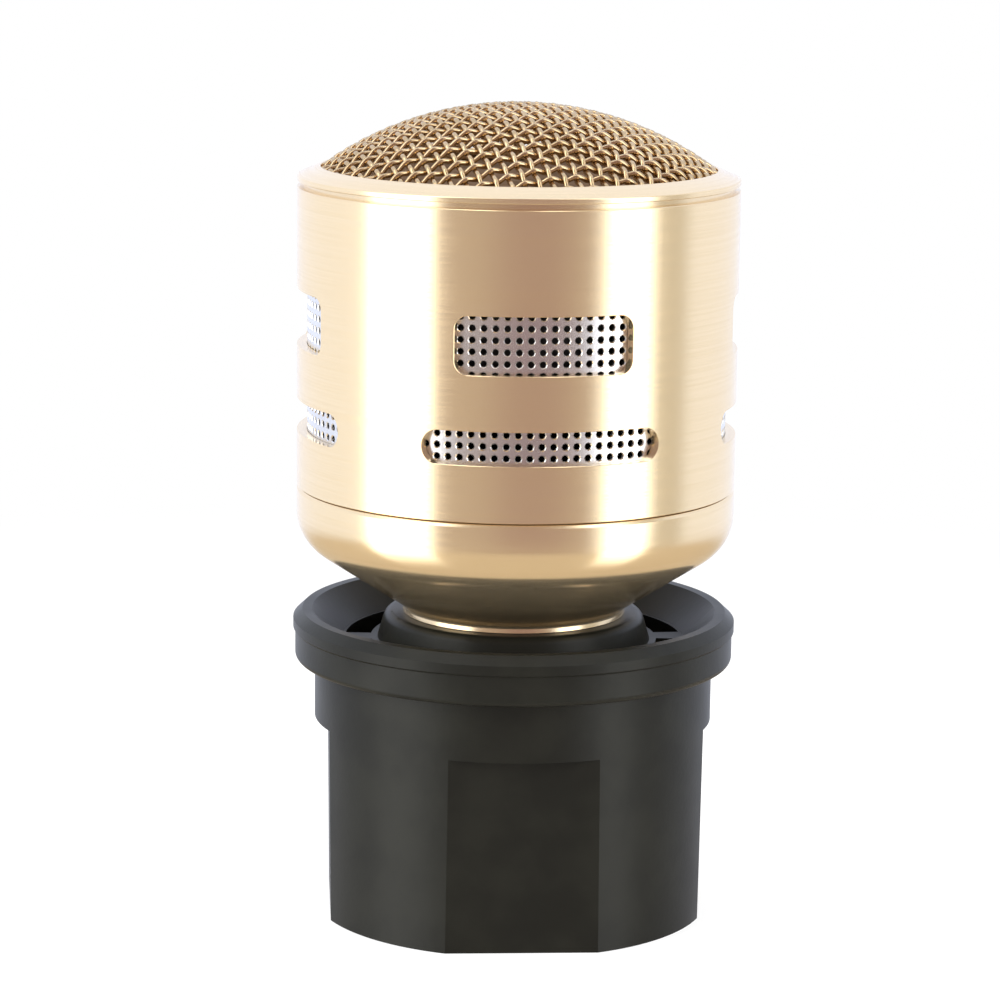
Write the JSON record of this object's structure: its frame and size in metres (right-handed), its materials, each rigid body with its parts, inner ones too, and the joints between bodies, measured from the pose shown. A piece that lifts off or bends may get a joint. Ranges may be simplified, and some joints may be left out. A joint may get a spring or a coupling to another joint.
{
  "type": "dynamic microphone capsule",
  "caption": "Dynamic microphone capsule: woven wire dome over a turned housing with side slots, on a black moulded shock mount with a flange and a flatted plug.",
  "frame": {"origin": "centre of the shock mount's bottom face, on the capsule's axis", "axes": "+Z along the axis from the plug to the wire dome, +X and +Y square to two of the plug's flats"},
  "size_m": [0.0336, 0.0334, 0.0613],
  "materials": {
    "gold_metal": "turned and lacquered, satin, pale gold",
    "gold_wire": "woven wire, satin gold",
    "silver_sheet": "satin perforated sheet",
    "black_rubber": "satin moulded, charcoal black",
    "dark_seal": "matte",
    "dark_foam": "open foam",
    "inner_moulding": "moulded, matte",
    "clear_film": "thin clear film",
    "copper_wire": "enamelled copper winding",
    "soft_iron": "zinc plated, satin",
    "magnet_metal": "ground, dull",
    "felt": "pressed felt",
    "board": "brown laminate",
    "tinned_brass": "tinned, satin",
    "lead_red": "insulated wire",
    "lead_black": "insulated wire"
  },
  "bodies": {
    "root": {"wire_mesh_dome": "gold_wire", "front_ring": "gold_metal", "slotted_shell": "gold_metal", "lower_cup": "gold_metal", "perforated_sleeve": "silver_sheet", "housing_gasket": "dark_seal", "foam_disc": "dark_foam", "resonator_cap": "inner_moulding", "diaphragm_ring": "inner_moulding", "diaphragm": "clear_film", "voice_coil": "copper_wire", "top_plate": "soft_iron", "pole_piece": "soft_iron", "magnet": "magnet_metal", "yoke": "soft_iron", "capsule_frame": "inner_moulding", "felt_ring": "felt", "lock_ring": "inner_moulding", "rear_chamber": "inner_moulding", "chamber_foam": "dark_foam", "terminal_board": "board", "solder_terminals": "tinned_brass", "coil_tags": "tinned_brass", "lead_wire_a": "lead_red", "lead_wire_b": "lead_black", "shock_mount": "black_rubber"}
  },
  "joints": []
}
